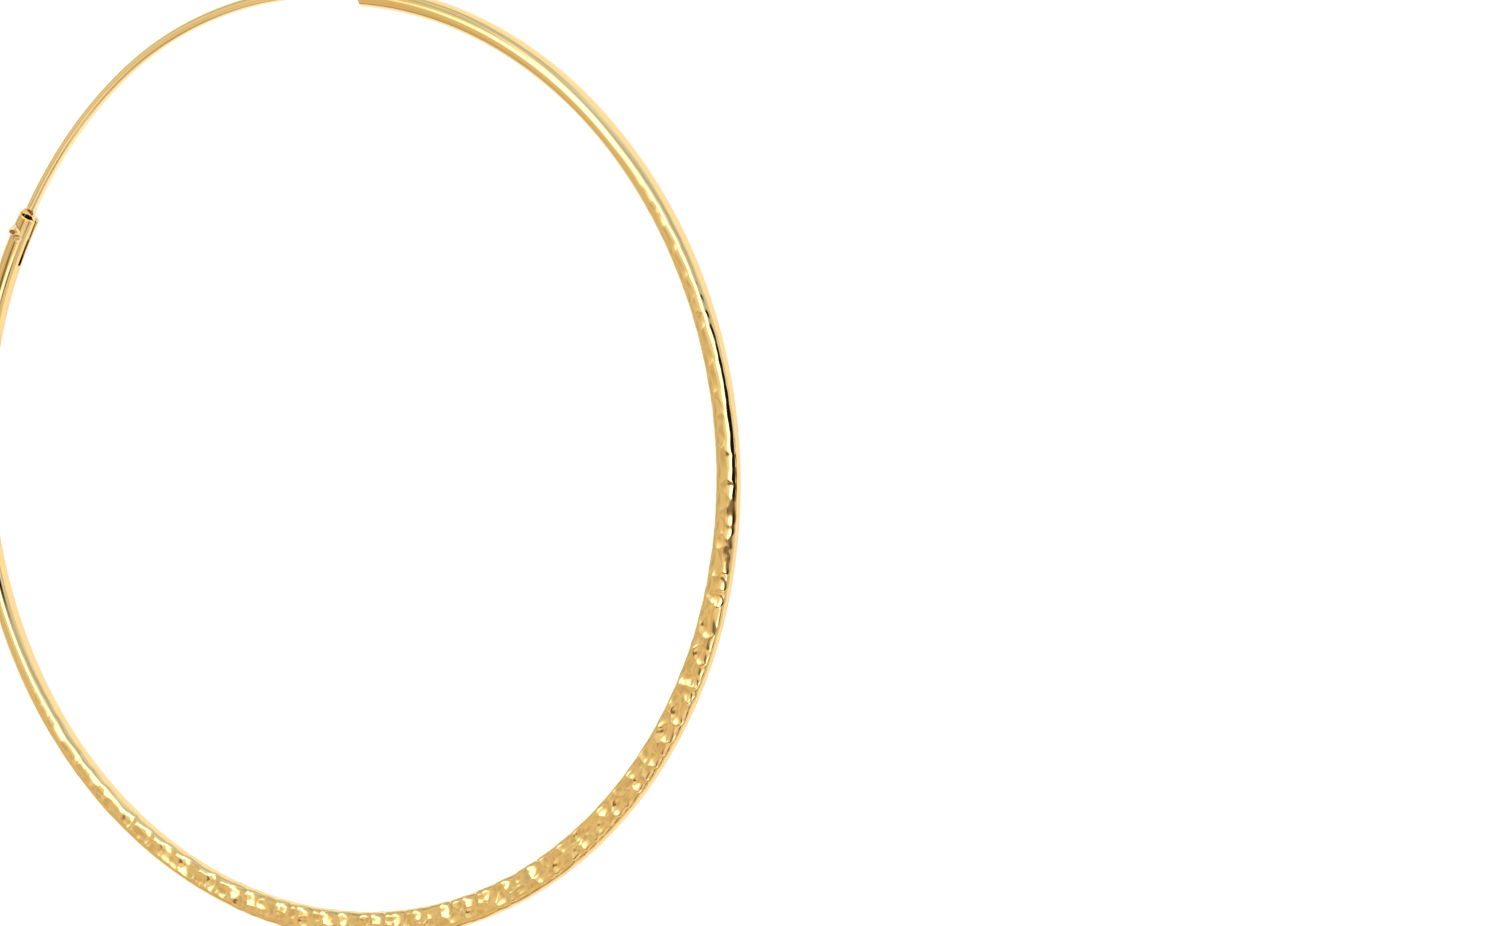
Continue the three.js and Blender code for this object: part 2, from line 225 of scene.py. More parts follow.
def rounded_outline(share, half_width, half_height, edge):
    """The point at a share of the way round a rounded rectangle, from its outer side upwards.

    An edge wider than half the height is a quarter of an oval, which takes all of that height.
    """
    edge_height = min(edge, half_height)
    rise, run, arc = half_height - edge_height, half_width - edge, edge * math.pi / 2
    quarter = rise + arc + run
    way = (share % 1.0) * 4 * quarter
    mirror_out = quarter < way < 3 * quarter
    mirror_up = way > 2 * quarter
    if way > 2 * quarter:
        way = 4 * quarter - way
    if way > quarter:
        way = 2 * quarter - way
    if way < rise:
        out, up = half_width, way
    elif way < rise + arc:
        turn = (way - rise) / edge
        out, up = run + edge * math.cos(turn), rise + edge_height * math.sin(turn)
    else:
        out, up = run - (way - rise - arc), half_height
    return -out if mirror_out else out, -up if mirror_up else up


def stray(index, way):
    """An even scatter from -0.5 to 0.5 with no pattern to the eye, from a mark's number."""
    return (index * STRAY_STEPS[way]) % 1 - 0.5


def hammer_marks():
    """One row of marks, or two staggered rows where the tube is wide enough for them."""
    marks = []
    half_pitch = arc_degrees(MARK_PITCH) / 2
    for index in range(math.ceil((LAST_MARK - FIRST_MARK) / half_pitch)):
        angle = FIRST_MARK + index * half_pitch
        half_width, _, edge, depth = tube_section(angle)
        struck = half_width - STRUCK_EDGE * edge
        two_rows = 2 * half_width > TWO_ROW_WIDTH * TUBE_DIAMETER
        if not two_rows and index % 2:
            continue
        along, across, size, turn = (stray(index, way) for way in STRAY_STEPS)
        row = (1 if index % 2 else -1) * ROW_PLACE * struck if two_rows else 0
        lean = MARK_LEAN * math.cos(math.radians(angle))
        marks.append({
            "angle": angle + along * MARK_SCATTER * 2 * half_pitch,
            "out": row + lean + across * MARK_SCATTER * struck,
            "depth": depth * (1 + size * DEPTH_SCATTER),
            "radius_along": MARK_RADIUS * MARK_STRETCH * (1 + turn * LENGTH_SCATTER),
            "radius_across": MARK_RADIUS * (1 + size * WIDTH_SCATTER),
            "tilt_along": turn * MARK_TILT * depth / MARK_DEPTH,
            "tilt_across": size * MARK_TILT * depth / MARK_DEPTH,
        })
    return marks


def lower_of(first, second, rounding):
    """The lower of two heights, with the ridge where they meet rounded over."""
    overlap = max(rounding - abs(first - second), 0) / rounding
    return min(first, second) - overlap**2 * rounding / 4


def hammered_height(angle, out, bare, near_marks):
    """A bare height of the tube's front with the marks struck in: shallow bowls, meeting in ridges."""
    height = bare
    for mark in near_marks:
        along = math.radians(angle - mark["angle"]) * HOOP_RADIUS
        across = out - mark["out"]
        share = (along / mark["radius_along"]) ** 2 + (across / mark["radius_across"]) ** 2
        tilt = mark["tilt_along"] * along + mark["tilt_across"] * across
        bowl = bare - mark["depth"] * (1 - share**MARK_FLATNESS) + tilt
        height = lower_of(height, bowl, RIDGE_ROUNDING)
    return height


def roll_tube(bm, stretches, sides, shape):
    """Rolls flat grids into a tube round the hoop, one for each (start, end, step) stretch.

    The shape function gives a point's distance out of the hoop's circle and its height, from its
    angle and its share of the way round the tube's section.
    """
    for start, end, step in stretches:
        rings = max(round((end - start) / arc_degrees(step)), 1)
        grid = bmesh.ops.create_grid(bm, x_segments=rings, y_segments=sides, size=0.5)["verts"]
        for vert in grid:
            angle = start + (vert.co.x + 0.5) * (end - start)
            out, height = shape(angle, vert.co.y + 0.5)
            turn = math.radians(angle)
            reach = HOOP_RADIUS + out
            vert.co = (reach * math.cos(turn), reach * math.sin(turn), height)
    bmesh.ops.remove_doubles(bm, verts=bm.verts, dist=0.001)


def edges_at(bm, angle):
    """The open edges of a mesh that stand across the hoop at an angle."""
    normal = across_hoop(angle)
    return [
        edge for edge in bm.edges
        if edge.is_boundary and all(abs(vert.co.dot(normal)) < 1e-4 for vert in edge.verts)
    ]


def across_hoop(angle):
    """The direction along the tube at an angle of the hoop."""
    turn = math.radians(angle)
    return Vector((-math.sin(turn), math.cos(turn), 0))


def finish_piece(bm, name, body, node, material, smooth_angle=40):
    """Makes the finished mesh an object in metres, in its place, riding on its body."""
    bmesh.ops.recalc_face_normals(bm, faces=bm.faces)
    place = Matrix.Translation(HOOP_CENTRE) @ Matrix.Scale(MM, 4)
    bmesh.ops.transform(bm, matrix=place, verts=bm.verts)
    sharp = math.radians(smooth_angle)
    for face in bm.faces:
        face.smooth = True
    for edge in bm.edges:
        edge.smooth = len(edge.link_faces) == 2 and edge.calc_face_angle() < sharp
    mesh = bpy.data.meshes.new(name)
    bm.to_mesh(mesh)
    bm.free()
    mesh.materials.append(material)
    piece = bpy.data.objects.new(name, mesh)
    bpy.context.collection.objects.link(piece)
    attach(piece, body)
    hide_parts(node)
    return piece


def tool_mesh(name, build):
    """A cutting tool: an object that a build function shapes, deleted after the cut."""
    bm = bmesh.new()
    build(bm)
    bmesh.ops.recalc_face_normals(bm, faces=bm.faces)
    mesh = bpy.data.meshes.new(name)
    bm.to_mesh(mesh)
    bm.free()
    tool = bpy.data.objects.new(name, mesh)
    bpy.context.collection.objects.link(tool)
    return tool


def combine(bm, tools, operation):
    """Joins tools to a mesh or cuts them out of it, and returns the result as a new bmesh."""
    mesh = bpy.data.meshes.new("blank")
    bm.to_mesh(mesh)
    bm.free()
    blank = bpy.data.objects.new("blank", mesh)
    bpy.context.collection.objects.link(blank)
    for tool in tools:
        modifier = blank.modifiers.new(tool.name, "BOOLEAN")
        modifier.operation = operation
        modifier.solver = "EXACT"
        modifier.object = tool
    graph = bpy.context.evaluated_depsgraph_get()
    done = bmesh.new()
    done.from_mesh(bpy.data.meshes.new_from_object(blank.evaluated_get(graph)))
    for item in [blank, *tools]:
        bpy.data.objects.remove(item)
    return done


def block_tool(name, angle, along, out, up):
    """A block in the hoop's own directions at an angle: along the tube, outwards and up."""
    def build(bm):
        verts = bmesh.ops.create_cube(bm, size=1)["verts"]
        bmesh.ops.scale(bm, verts=verts, vec=(out[1] - out[0], along[1] - along[0], up[1] - up[0]))
        middle = [(low + high) / 2 for low, high in (out, along, up)]
        bmesh.ops.translate(bm, verts=verts, vec=(HOOP_RADIUS + middle[0], middle[1], middle[2]))
        turn = Matrix.Rotation(math.radians(angle), 3, "Z")
        bmesh.ops.rotate(bm, verts=verts, cent=(0, 0, 0), matrix=turn)
    return tool_mesh(name, build)


def at_pin(bm, verts):
    """Moves vertices from the middle of the hoop to the pin's axis."""
    turn = math.radians(PIN_ANGLE)
    bmesh.ops.translate(bm, verts=verts, vec=(HOOP_RADIUS * math.cos(turn), HOOP_RADIUS * math.sin(turn), 0))


def drill_tool(name, low_radius, high_radius, bottom, top, sides=48):
    """A drill or countersink on the pin's axis."""
    def build(bm):
        made = bmesh.ops.create_cone(
            bm, cap_ends=True, segments=sides, radius1=low_radius, radius2=high_radius, depth=top - bottom,
        )
        bmesh.ops.translate(bm, verts=made["verts"], vec=(0, 0, (top + bottom) / 2))
        at_pin(bm, made["verts"])
    return tool_mesh(name, build)


def outside_shape(marks):
    """The outside of the tube: its rounded section with the hammer marks struck into the front."""
    reach = arc_degrees(MARK_REACH)
    rings = {}

    def shape(angle, share):
        key = round(angle, 3)
        if key not in rings:
            rings[key] = tube_section(key)[:3], [
                mark for mark in marks if abs(mark["angle"] - key) < reach
            ]
        (half_width, half_height, edge), near_marks = rings[key]
        out, up = rounded_outline(share, half_width, half_height, edge)
        height = half_height + up
        if up > 0 and near_marks:
            face = hammered_height(angle, out, height, near_marks)
            depth = read_table(TUBE_SECTIONS, "at", "marks", key)
            place = Vector((math.radians(angle) * HOOP_RADIUS, out, 0)) / RIPPLE_PITCH
            ripple = noise.noise(place) * RIPPLE_HEIGHT * depth
            height = lower_of(height, face + ripple, RIDGE_ROUNDING)
        return out, height

    return shape


def bore_shape(angle, share):
    """The hollow inside the tube, a wall's thickness in from the outside and the marks."""
    half_width, half_height, edge, depth = tube_section(angle)
    half_bore = half_height - TUBE_WALL - depth / 2
    bore_edge = max(edge - TUBE_WALL, TUBE_WALL / 2)
    out, up = rounded_outline(share, half_width - TUBE_WALL, half_bore, bore_edge)
    return out, TUBE_WALL + half_bore + up


def tube_length(stretches, marks):
    """A length of the hollow tube, closed at both ends."""
    bm = bmesh.new()
    bore = [(start, end, max(step, BORE_STEP)) for start, end, step in stretches]
    roll_tube(bm, bore, TUBE_SIDES, bore_shape)
    bmesh.ops.reverse_faces(bm, faces=bm.faces)
    roll_tube(bm, stretches, TUBE_SIDES, outside_shape(marks))
    for angle in (stretches[0][0], stretches[-1][1]):
        bmesh.ops.bridge_loops(bm, edges=edges_at(bm, angle))
    bmesh.ops.recalc_face_normals(bm, faces=bm.faces)
    return bm


def open_end(bm, angle):
    """Deletes the faces that close a length of tube at an angle, where another length joins on."""
    normal = across_hoop(angle)
    closing = [face for face in bm.faces if all(abs(vert.co.dot(normal)) < 1e-4 for vert in face.verts)]
    bmesh.ops.delete(bm, geom=closing, context="FACES")


def make_tube(material):
    """The hollow tube with its hammered front, forked hinge end and notched mouth."""
    past = TUBE_RADIUS + 1
    marks = hammer_marks()
    slot_width = FOOT_THICKNESS + 2 * SLOT_SIDE_CLEARANCE
    notch_width = WIRE_DIAMETER + 2 * NOTCH_CLEARANCE
    hole = PIN_DIAMETER / 2 + PIN_HOLE_GAP
    sink = (PEEN_DIAMETER - PIN_DIAMETER) / 2
    fork = combine(tube_length([(HINGE_END, FORK_JOIN, SMOOTH_STEP)], marks), [
        block_tool("saw_slot", HINGE_END, (-1, SLOT_LENGTH), (-past, past),
                   (MID_HEIGHT - slot_width / 2, MID_HEIGHT + slot_width / 2)),
        drill_tool("pin_drill", hole, hole, -1, TUBE_DIAMETER + 1),
        drill_tool("countersink", hole + 2 * sink, hole, -PEEN_DEPTH, PEEN_DEPTH),
    ], "DIFFERENCE")
    middle = tube_length([
        (FORK_JOIN, FIRST_MARK, SMOOTH_STEP),
        (FIRST_MARK, LAST_MARK, HAMMERED_STEP),
        (LAST_MARK, MOUTH_JOIN, SMOOTH_STEP),
    ], marks)
    mouth = combine(tube_length([(MOUTH_JOIN, MOUTH, SMOOTH_STEP)], marks), [
        block_tool("saw_notch", MOUTH, (-TIP_LENGTH - NOTCH_CLEARANCE, 1), (0, past),
                   (MID_HEIGHT - notch_width / 2, MID_HEIGHT + notch_width / 2)),
    ], "DIFFERENCE")
    open_end(fork, FORK_JOIN)
    open_end(middle, FORK_JOIN)
    open_end(middle, MOUTH_JOIN)
    open_end(mouth, MOUTH_JOIN)
    for end in (fork, mouth):
        mesh = bpy.data.meshes.new("tube_end")
        end.to_mesh(mesh)
        end.free()
        middle.from_mesh(mesh)
    bmesh.ops.remove_doubles(middle, verts=middle.verts, dist=0.001)
    return finish_piece(middle, "hammered_tube", "hoop", "hoop_tube", material)


WIRE_RADIUS = WIRE_DIAMETER / 2
FOOT_RADIUS = FOOT_WIDTH / 2
WIRE_MOUTH = MOUTH - 360
WIRE_TIP = WIRE_MOUTH - arc_degrees(TIP_LENGTH)
NOSE_END = WIRE_TIP + arc_degrees(NOSE_LENGTH)
FOOT_START = PIN_ANGLE - arc_degrees(math.hypot(PIN_SETBACK, TUBE_RADIUS) + SWING_CLEARANCE)
FLARE_START = FOOT_START - arc_degrees(FOOT_FLARE)
NECK_END = HINGE_END + arc_degrees(NECK_INSET)
FOOT_END = PIN_ANGLE + arc_degrees(FOOT_RADIUS)


def ease(place, start, end):
    """A smooth rise from 0 to 1 between a start and an end."""
    share = min(max((place - start) / (end - start), 0), 1)
    return share * share * (3 - 2 * share)


def wire_shape(angle, share):
    """The outside of the ear wire: a rounded nose, the round bow, and the flat foot's round end."""
    half_width = half_height = WIRE_RADIUS
    if angle < NOSE_END:
        left = 1 - (angle - WIRE_TIP) / (NOSE_END - WIRE_TIP)
        half_width = half_height = WIRE_RADIUS * max(math.sqrt(max(1 - left**2, 0)), BLUNT_TIP)
    elif angle > FLARE_START:
        half_width += (FOOT_RADIUS - WIRE_RADIUS) * ease(angle, FLARE_START, NECK_END)
        half_height += (FOOT_THICKNESS / 2 - WIRE_RADIUS) * ease(angle, FLARE_START, FOOT_START)
    if angle > PIN_ANGLE:
        past_pin = min((angle - PIN_ANGLE) / (FOOT_END - PIN_ANGLE), 1)
        half_width *= max(math.sqrt(1 - past_pin**2), BLUNT_TIP)
    edge = min(half_width, half_height)
    across, up = rounded_outline(share, half_width, half_height, edge)
    along = (angle - WIRE_MOUTH) / (HINGE_END - WIRE_MOUTH)
    to_pin = min(max((PIN_ANGLE - angle) / (PIN_ANGLE - HINGE_END), 0), 1)
    bow = read_table(WIRE_BOW, "along", "rise", along) * WIRE_RISE * to_pin
    return bow + across, MID_HEIGHT + up


def make_wire(material):
    """The ear wire: round, with a rounded nose and a foot hammered flat round the pin."""
    bm = bmesh.new()
    roll_tube(bm, [
        (WIRE_TIP, NOSE_END, 0.03),
        (NOSE_END, FLARE_START, 0.25),
        (FLARE_START, FOOT_START, 0.05),
        (FOOT_START, PIN_ANGLE, 0.1),
        (PIN_ANGLE, FOOT_END, 0.025),
    ], WIRE_SIDES, wire_shape)
    for angle in (WIRE_TIP, FOOT_END):
        bmesh.ops.contextual_create(bm, geom=edges_at(bm, angle))
    bmesh.ops.recalc_face_normals(bm, faces=bm.faces)
    eye = PIN_DIAMETER / 2 + EYE_CLEARANCE
    bm = combine(bm, [drill_tool("eye_drill", eye, eye, MID_HEIGHT - 1, MID_HEIGHT + 1)], "DIFFERENCE")
    return finish_piece(bm, "drawn_ear_wire", "ear_wire", "ear_wire", material)


# The two lobes that the hammer left of the rivet's head. Their places, along the tube and
# outwards from the pin, and their diameters are shares of the head's diameter, and their
# heights shares of its height.
HEAD_LOBES = [
    {"along": -0.02, "out": 0.1, "diameter": 0.9, "height": 1.0},
    {"along": 0.36, "out": -0.22, "diameter": 0.62, "height": 0.7},
]

# The blows that shaped each lobe: the way each faces, and how far from the lobe's middle it
# stopped as a share of the lobe's radius.
LOBE_BLOWS = [
    ((0.25, -0.1, 1.0), 0.86),
    ((-1.0, -0.05, 0.35), 0.9),
    ((0.9, 0.3, 0.6), 0.9),
    ((0.3, -0.9, 0.5), 0.9),
    ((-0.45, -0.6, 0.8), 0.9),
    ((-0.1, 0.8, 0.75), 0.92),
    ((0.55, 0.75, 0.7), 0.92),
]
BLOW_ROUNDING = 0.05
SIDE_LOBE_TURN = 2.2


def head_lobe(bm, lobe, turn):
    """A lobe of the rivet's head, down into the tube that the head sits on."""
    verts = bmesh.ops.create_icosphere(bm, subdivisions=5, radius=1)["verts"]
    for vert in verts:
        direction = vert.co.normalized()
        reach = 1.0
        for blow, depth in LOBE_BLOWS:
            facing = direction.dot(Vector(blow).normalized())
            if facing > 0:
                reach = lower_of(reach, depth / facing, BLOW_ROUNDING)
        vert.co = direction * reach
    radius = HEAD_DIAMETER * lobe["diameter"] / 2
    rise = HEAD_HEIGHT * lobe["height"]
    tallest = max(vert.co.z for vert in verts)
    bmesh.ops.rotate(bm, verts=verts, cent=(0, 0, 0), matrix=Matrix.Rotation(turn, 3, "Z"))
    bmesh.ops.scale(bm, verts=verts, vec=(radius, radius, (rise + HEAD_SUNK) / tallest))
    place = Vector((
        HEAD_DIAMETER * lobe["out"], HEAD_DIAMETER * lobe["along"], TUBE_DIAMETER - HEAD_SUNK,
    ))
    bmesh.ops.translate(bm, verts=verts, vec=Matrix.Rotation(math.radians(PIN_ANGLE), 3, "Z") @ place)
    at_pin(bm, verts)


def make_rivet(material):
    """The rivet: a pin, a flush back end and a head that the hammer left in soft facets."""
    bm = bmesh.new()
    main_lobe, side_lobe = HEAD_LOBES
    head_lobe(bm, main_lobe, 0)
    side = tool_mesh("side_lobe", lambda part: head_lobe(part, side_lobe, SIDE_LOBE_TURN))
    bmesh.ops.recalc_face_normals(bm, faces=bm.faces)
    bm = combine(bm, [side], "UNION")

    def tube_stub(stub):
        span = arc_degrees(HEAD_DIAMETER + 1)
        ends = (PIN_ANGLE - span, PIN_ANGLE + span)
        radius = TUBE_RADIUS + PIN_HOLE_GAP

        def stub_shape(_, share):
            out, up = rounded_outline(share, radius, radius, radius)
            return out, MID_HEIGHT + up

        roll_tube(stub, [(*ends, 0.25)], TUBE_SIDES, stub_shape)
        for angle in ends:
            bmesh.ops.contextual_create(stub, geom=edges_at(stub, angle))

    below = drill_tool("below", 1, 1, -2, MID_HEIGHT)
    bm = combine(bm, [tool_mesh("tube_stub", tube_stub), below], "DIFFERENCE")
    pin_radius = PIN_DIAMETER / 2
    peen_top = PEEN_DEPTH + PEEN_INSET
    for low, high, bottom, top in (
        (PEEN_DIAMETER / 2, pin_radius, PEEN_INSET, peen_top),
        (pin_radius, pin_radius, peen_top, TUBE_DIAMETER + HEAD_HEIGHT / 2),
    ):
        made = bmesh.ops.create_cone(
            bm, cap_ends=True, segments=40, radius1=low, radius2=high, depth=top - bottom,
        )
        bmesh.ops.translate(bm, verts=made["verts"], vec=(0, 0, (top + bottom) / 2))
        at_pin(bm, made["verts"])
    return finish_piece(bm, "peened_rivet", "hoop", "hinge_rivet", material)


def linear(hex_colour):
    """An sRGB hex colour as linear red, green, blue and alpha."""
    parts = [int(hex_colour[index:index + 2], 16) / 255 for index in (1, 3, 5)]
    return (*(part / 12.92 if part <= 0.04045 else ((part + 0.055) / 1.055) ** 2.4 for part in parts), 1)


def node(tree, kind, settings=None, inputs=None, links=None):
    """Adds a node with its settings, input values and links from other nodes' outputs."""
    made = tree.nodes.new(kind)
    for key, value in (settings or {}).items():
        setattr(made, key, value)
    for key, value in (inputs or {}).items():
        made.inputs[key].default_value = value
    for key, output in (links or {}).items():
        tree.links.new(output, made.inputs[key])
    return made


def new_material(name):
    """An empty material. Returns it with its node tree and output."""
    material = bpy.data.materials.new(name)
    material.use_nodes = True
    tree = material.node_tree
    tree.nodes.clear()
    return material, tree, node(tree, "ShaderNodeOutputMaterial")


# The haze of the buffing wheel, drawn about as coarse as it needs to show
HAZE_PITCH = 1.111
HAZE_DEPTH = 0.02
HAZE_STRENGTH = 0.15


def polished_gold_alloy(name, colour, roughness):
    """Yellow gold alloy, buffed on a wheel: a mirror with the faintest buffing haze.

    Its colour comes only from its reflections, so it is pale where the studio is bright and
    brown to black where the studio is dark.
    """
    material, tree, output = new_material(name)
    place = node(tree, "ShaderNodeTexCoord")
    haze = node(tree, "ShaderNodeTexNoise", inputs={"Scale": 1 / (HAZE_PITCH * MM), "Detail": 3.0},
                links={"Vector": place.outputs["Object"]})
    rough = node(tree, "ShaderNodeMapRange", inputs={"To Min": roughness * 0.8, "To Max": roughness * 1.3},
                 links={"Value": haze.outputs["Fac"]})
    wave = node(tree, "ShaderNodeBump", inputs={
        "Strength": HAZE_STRENGTH, "Distance": HAZE_DEPTH * MM,
    }, links={"Height": haze.outputs["Fac"]})
    shader = node(tree, "ShaderNodeBsdfPrincipled", inputs={"Base Color": linear(colour), "Metallic": 1.0},
                  links={"Roughness": rough.outputs["Result"], "Normal": wave.outputs["Normal"]})
    tree.links.new(shader.outputs["BSDF"], output.inputs["Surface"])
    return material


def white_table():
    """Matt white acrylic sheet, lit a little from below so that hardly any shadow shows."""
    material, tree, output = new_material("white_acrylic_table")
    shader = node(tree, "ShaderNodeBsdfPrincipled", inputs={
        "Base Color": linear("#bcbcba"), "Roughness": 0.6, "Specular IOR Level": 0.0,
        "Emission Color": linear("#f3f6ff"), "Emission Strength": 0.8,
    })
    tree.links.new(shader.outputs["BSDF"], output.inputs["Surface"])
    return material


def make_table():
    """The table that the hoop lies on, wider than the picture."""
    bm = bmesh.new()
    bmesh.ops.create_grid(bm, x_segments=1, y_segments=1, size=0.6)
    mesh = bpy.data.meshes.new("table")
    bm.to_mesh(mesh)
    bm.free()
    mesh.materials.append(white_table())
    table = bpy.data.objects.new("table", mesh)
    bpy.context.collection.objects.link(table)


# The cloth tent that lights the hoop: elevation in degrees above the table, and colour there.
# The near wall is the one on the +X side, where the camera is.
TENT_STRENGTH = 2.12
FAR_WALL = [
    (0, "#9a9a9a"), (14, "#acacac"), (28, "#b2ada4"), (53, "#c3bba9"), (66, "#c8c0b0"), (90, "#cccccc"),
]
NEAR_WALL = [
    (0, "#b6bed2"), (12, "#bec4d6"), (38, "#b0b6ca"), (48, "#bcc0cc"), (60, "#c8c8cc"), (90, "#cccccc"),
]
WALLS_MEET = (-0.55, 0.25)

# The light is warmer at the hoop's bottom, -Y, and cooler at the ear wire, +Y.
WARM_END = "#e6dacb"
COOL_END = "#e2ebf8"
WARM_TO_COOL = (-0.6, 0.8)

# The folds of the cloth: how fine they are, the share by which they shade it, and the range of
# their noise that is used.
FOLD_SCALE = 2.4
FOLD_SHADE = 0.25
FOLD_RANGE = (0.35, 0.65)

# Patches of the tent: azimuth, elevation, half width and half height in degrees, and the
# softness of the edge. Two softboxes light it from outside, and the lens looks in by a hole.
KEY_PATCH = (122, 63, 19, 8, 0.5)
STRIP_PATCH = (20, 76, 40, 11, 0.4)
SOFTBOX_COLOUR = "#f4f6ff"
KEY_GAIN = 1.7
STRIP_GAIN = 1.7
LENS_PATCH = (1, 44, 19, 20, 0.15)
LENS_COLOUR = "#0a0806"

# The dark gap between two cloths is open only here and there, where its noise is in this range.
GAP_PATCH = (-74, 34, 36, 9, 0.4)
GAP_COLOUR = "#2c2014"
GAP_NOISE_SCALE = 8.0
GAP_OPENS = (0.5, 0.6)

# The overhead seam: the way across it, its half width in degrees and softness. It fades out
# towards the far wall.
SEAM = ((0.147, 1.0, 0.27), 5, 0.5)
SEAM_COLOUR = "#625444"
SEAM_FADE = (-0.45, -0.2)

# The camera stands at the photograph's angle: its picture is 109.4 mm wide at the hoop.
CAMERA_DISTANCE = 3.0
FRAME_WIDTH = 0.1094
FRAME_PIXELS = (1500, 926)
HOOP_CENTRE_PIXEL = (351.8, 460.7)
ROUND_HOOP = math.radians(-0.05)
OFF_SQUARE = math.radians(37.11)
LEAN = math.radians(5.24)


def make_camera():
    """The camera, aimed so that the middle of the hoop falls where it does in the photograph."""
    data = bpy.data.cameras.new("camera")
    data.sensor_width = 36
    data.lens = data.sensor_width * CAMERA_DISTANCE / FRAME_WIDTH
    data.clip_start, data.clip_end = 0.05, 20
    camera = bpy.data.objects.new("camera", data)
    bpy.context.collection.objects.link(camera)
    turn = Matrix.Rotation(ROUND_HOOP, 3, "Z")
    back = turn @ Vector((math.sin(OFF_SQUARE), 0, math.cos(OFF_SQUARE)))
    across = turn @ Vector((math.cos(OFF_SQUARE), 0, -math.sin(OFF_SQUARE)))
    along = turn @ Vector((0, 1, 0))
    right = across * math.cos(LEAN) - along * math.sin(LEAN)
    up = across * math.sin(LEAN) + along * math.cos(LEAN)
    pixel = FRAME_WIDTH / FRAME_PIXELS[0]
    middle = HOOP_CENTRE + Vector((0, 0, MID_HEIGHT * MM))
    place = middle + back * CAMERA_DISTANCE
    aim = (
        middle
        + right * (FRAME_PIXELS[0] / 2 - HOOP_CENTRE_PIXEL[0]) * pixel
        + up * (HOOP_CENTRE_PIXEL[1] - FRAME_PIXELS[1] / 2) * pixel
    )
    aimed_back = (place - aim).normalized()
    aimed_right = up.cross(aimed_back).normalized()
    aimed_up = aimed_back.cross(aimed_right)
    facing = Matrix((aimed_right, aimed_up, aimed_back)).transposed().to_4x4()
    camera.matrix_world = Matrix.Translation(place) @ facing
    bpy.context.scene.camera = camera


def studio_patch(tree, direction, azimuth, elevation, half_width, half_height, softness):
    """A soft-edged oval patch of the tent round a direction, in degrees: 1 inside it and 0 outside."""
    facing = node(tree, "ShaderNodeMapping", {"vector_type": "TEXTURE"}, inputs={
        "Rotation": (0, -math.radians(elevation), math.radians(azimuth)),
        "Scale": (1, math.sin(math.radians(half_width)), math.sin(math.radians(half_height))),
    }, links={"Vector": direction})
    parts = node(tree, "ShaderNodeSeparateXYZ", links={"Vector": facing.outputs["Vector"]})
    flat = node(tree, "ShaderNodeCombineXYZ", links={"X": parts.outputs["Y"], "Y": parts.outputs["Z"]})
    reach = node(tree, "ShaderNodeVectorMath", {"operation": "LENGTH"}, links={0: flat.outputs["Vector"]})
    inside = node(tree, "ShaderNodeMapRange", {"interpolation_type": "SMOOTHSTEP"}, inputs={
        "From Min": 1 - softness, "From Max": 1 + softness, "To Min": 1.0, "To Max": 0.0,
    }, links={"Value": reach.outputs["Value"]})
    front = node(tree, "ShaderNodeMath", {"operation": "GREATER_THAN"}, inputs={1: 0.0},
                 links={0: parts.outputs["X"]})
    mask = node(tree, "ShaderNodeMath", {"operation": "MULTIPLY"},
                links={0: inside.outputs["Result"], 1: front.outputs["Value"]})
    return mask.outputs["Value"]


def studio_seam(tree, direction, across, half_width, softness):
    """A soft-edged seam of the tent that runs straight overhead, square to a direction: 1 on it."""
    off = node(tree, "ShaderNodeVectorMath", {"operation": "DOT_PRODUCT"},
               inputs={1: Vector(across).normalized()}, links={0: direction})
    size = node(tree, "ShaderNodeMath", {"operation": "ABSOLUTE"}, links={0: off.outputs["Value"]})
    edge = math.sin(math.radians(half_width))
    on_seam = node(tree, "ShaderNodeMapRange", {"interpolation_type": "SMOOTHSTEP"}, inputs={
        "From Min": edge * (1 - softness), "From Max": edge * (1 + softness), "To Min": 1.0, "To Max": 0.0,
    }, links={"Value": size.outputs["Value"]})
    return on_seam.outputs["Result"]


def from_range(ends):
    """The input values of a Map Range node that reads from one end of a range to the other."""
    return {"From Min": ends[0], "From Max": ends[1]}


def wall_ramp(tree, height, wall):
    """The brightness of a wall of the tent, from its (elevation in degrees, colour) stops."""
    ramp = node(tree, "ShaderNodeValToRGB", links={"Fac": height})
    ramp.color_ramp.interpolation = "EASE"
    stops = ramp.color_ramp.elements
    while len(stops) < len(wall):
        stops.new(1.0)
    for stop, (elevation, colour) in zip(stops, wall):
        stop.position = math.sin(math.radians(elevation))
        stop.color = linear(colour)
    return ramp.outputs["Color"]


